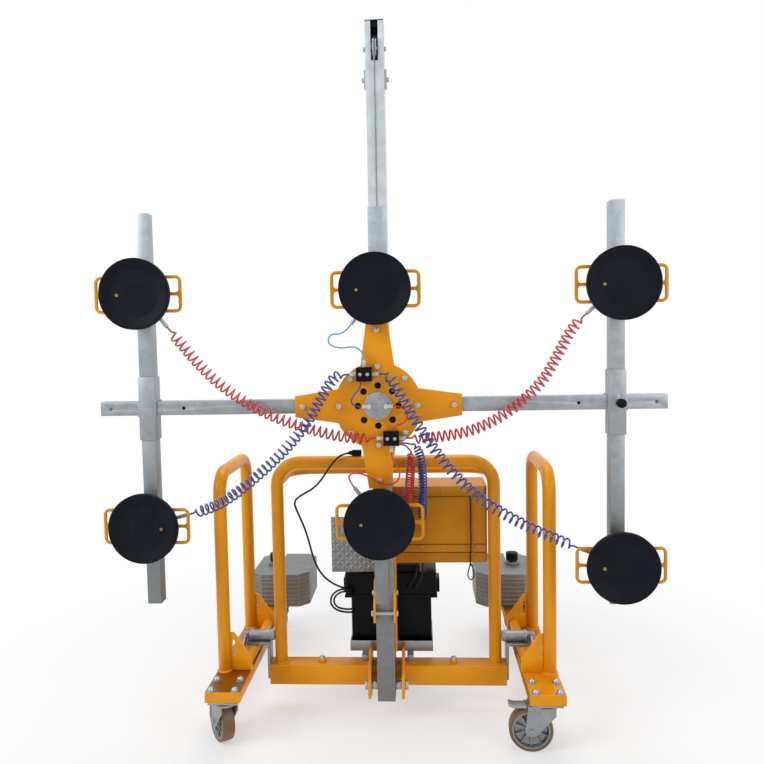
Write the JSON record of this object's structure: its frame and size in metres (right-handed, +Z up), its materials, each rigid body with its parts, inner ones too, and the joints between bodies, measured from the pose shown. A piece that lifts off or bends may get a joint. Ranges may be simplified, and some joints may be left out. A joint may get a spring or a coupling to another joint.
{
  "type": "glass panel lifter",
  "caption": "Wheeled vacuum lifter with a tall mast, a rotating yellow head with suction pads and sliding rails, curly air hoses, pipe hoops and counterweights.",
  "frame": {"origin": "middle of the footprint on the floor, halfway along the overall depth", "axes": "+Z up along the mast, -Y the way the suction pads face, +X to the right seen from the pads"},
  "size_m": [2.03, 1.305, 2.694],
  "materials": {
    "yellow_paint": "gloss",
    "galvanised": "satin",
    "mast_steel": "satin",
    "grey_paint": "satin",
    "bright_steel": "polished",
    "black_rubber": "matte",
    "black_plastic": "matte",
    "wheel_tread": "satin",
    "rear_tread": "matte",
    "red_hose": "gloss",
    "blue_hose": "gloss",
    "steel_rope": "satin",
    "white_plastic": "gloss"
  },
  "bodies": {
    "base": {"base_bolts": "bright_steel", "battery_box": "black_plastic", "battery_lid": "black_plastic", "battery_tray": "galvanised", "cables": "black_plastic", "caster_plates": "galvanised", "central_hoop": "yellow_paint", "checker_plate": "galvanised", "clamps": "galvanised", "control_box": "yellow_paint", "counterweights": "grey_paint", "cross_beam": "yellow_paint", "feed_hoses": "blue_hose", "mast": "mast_steel", "mast_cap": "black_plastic", "mast_cheeks": "yellow_paint", "mast_foot": "mast_steel", "outriggers": "yellow_paint", "push_handle": "yellow_paint", "rope_back": "steel_rope", "rope_front": "steel_rope", "side_hoops": "yellow_paint", "winch": "black_plastic"},
    "carriage": {"carriage_sleeve": "galvanised", "bearing_housing": "galvanised"},
    "sheave": {"sheave": "bright_steel"},
    "head": {"turret": "yellow_paint", "head_arms": "galvanised", "cross_plate": "yellow_paint", "hub_cap": "bright_steel", "plate_bolts": "bright_steel", "manifolds": "black_plastic", "fittings": "white_plastic", "centre_pads": "black_rubber", "centre_handles": "yellow_paint", "head_hoses": "blue_hose", "hose_left_red": "red_hose", "hose_left_blue": "blue_hose", "hose_right_red": "red_hose", "hose_right_blue": "blue_hose"},
    "left_rail": {"left_tubes": "galvanised", "left_sleeve": "galvanised", "left_pads": "black_rubber", "left_handles": "yellow_paint"},
    "right_rail": {"right_tubes": "galvanised", "right_sleeve": "galvanised", "right_pads": "black_rubber", "right_handles": "yellow_paint"},
    "left_plunger": {"left_plunger": "black_plastic"},
    "right_plunger": {"right_plunger": "black_plastic"},
    "front_left_fork": {"front_left_fork": "galvanised"},
    "front_left_wheel": {"front_left_wheel": "wheel_tread"},
    "front_left_pedal": {"front_left_pedal": "galvanised"},
    "front_right_fork": {"front_right_fork": "galvanised"},
    "front_right_wheel": {"front_right_wheel": "wheel_tread"},
    "front_right_pedal": {"front_right_pedal": "galvanised"},
    "rear_left_fork": {"rear_left_fork": "galvanised"},
    "rear_left_wheel": {"rear_left_wheel": "rear_tread"},
    "rear_right_fork": {"rear_right_fork": "galvanised"},
    "rear_right_wheel": {"rear_right_wheel": "rear_tread"}
  },
  "joints": [
    {"name": "head_lift", "type": "slide", "parent": "base", "child": "carriage", "axis": [0, 0, 1], "range_m": [-0.21, 0.9], "deforming": ["rope_front", "feed_hoses"]},
    {"name": "head_rotate", "type": "hinge", "parent": "carriage", "child": "head", "pos_m": [0, -0.5375, 1.272], "axis": [0, 1, 0], "continuous": true},
    {"name": "left_rail_slide", "type": "slide", "parent": "head", "child": "left_rail", "axis": [-1, 0, 0], "range_m": [-0.135, 0.135], "deforming": ["hose_left_red", "hose_left_blue"]},
    {"name": "right_rail_slide", "type": "slide", "parent": "head", "child": "right_rail", "axis": [1, 0, 0], "range_m": [-0.135, 0.135], "deforming": ["hose_right_red", "hose_right_blue"]},
    {"name": "left_lock", "type": "slide", "parent": "left_rail", "child": "left_plunger", "axis": [0, -1, 0], "range_m": [0, 0.0135]},
    {"name": "right_lock", "type": "slide", "parent": "right_rail", "child": "right_plunger", "axis": [0, 1, 0], "range_m": [0, 0.0135]},
    {"name": "sheave_turn", "type": "hinge", "parent": "base", "child": "sheave", "pos_m": [0, -0.3625, 2.594], "axis": [1, 0, 0], "continuous": true},
    {"name": "front_left_swivel", "type": "hinge", "parent": "base", "child": "front_left_fork", "pos_m": [-0.59, -0.5475, 0.16], "axis": [0, 0, 1], "continuous": true},
    {"name": "front_left_roll", "type": "hinge", "parent": "front_left_fork", "child": "front_left_wheel", "pos_m": [-0.62155, -0.50245, 0.08], "axis": [0.8192, 0.5736, 0], "continuous": true},
    {"name": "front_left_brake", "type": "hinge", "parent": "front_left_fork", "child": "front_left_pedal", "pos_m": [-0.63262, -0.48664, 0.1667], "axis": [0.8192, 0.5736, 0], "range_deg": [-12, 0]},
    {"name": "front_right_swivel", "type": "hinge", "parent": "base", "child": "front_right_fork", "pos_m": [0.59, -0.5475, 0.16], "axis": [0, 0, 1], "continuous": true},
    {"name": "front_right_roll", "type": "hinge", "parent": "front_right_fork", "child": "front_right_wheel", "pos_m": [0.53513, -0.54366, 0.08], "axis": [0.0698, 0.9976, 0], "continuous": true},
    {"name": "front_right_brake", "type": "hinge", "parent": "front_right_fork", "child": "front_right_pedal", "pos_m": [0.51588, -0.54232, 0.1667], "axis": [0.0698, 0.9976, 0], "range_deg": [-12, 0]},
    {"name": "rear_left_swivel", "type": "hinge", "parent": "base", "child": "rear_left_fork", "pos_m": [-0.59, 0.5175, 0.16], "axis": [0, 0, 1], "continuous": true},
    {"name": "rear_left_roll", "type": "hinge", "parent": "rear_left_fork", "child": "rear_left_wheel", "pos_m": [-0.60881, 0.56918, 0.08], "axis": [0.9397, 0.342, 0], "continuous": true},
    {"name": "rear_right_swivel", "type": "hinge", "parent": "base", "child": "rear_right_fork", "pos_m": [0.59, 0.5175, 0.16], "axis": [0, 0, 1], "continuous": true},
    {"name": "rear_right_roll", "type": "hinge", "parent": "rear_right_fork", "child": "rear_right_wheel", "pos_m": [0.6106, 0.5685, 0.08], "axis": [0.9272, -0.3746, 0], "continuous": true}
  ],
  "couplings": [
    {"joint": "sheave_turn", "follows": "head_lift", "rad_per_m": -26.81}
  ]
}
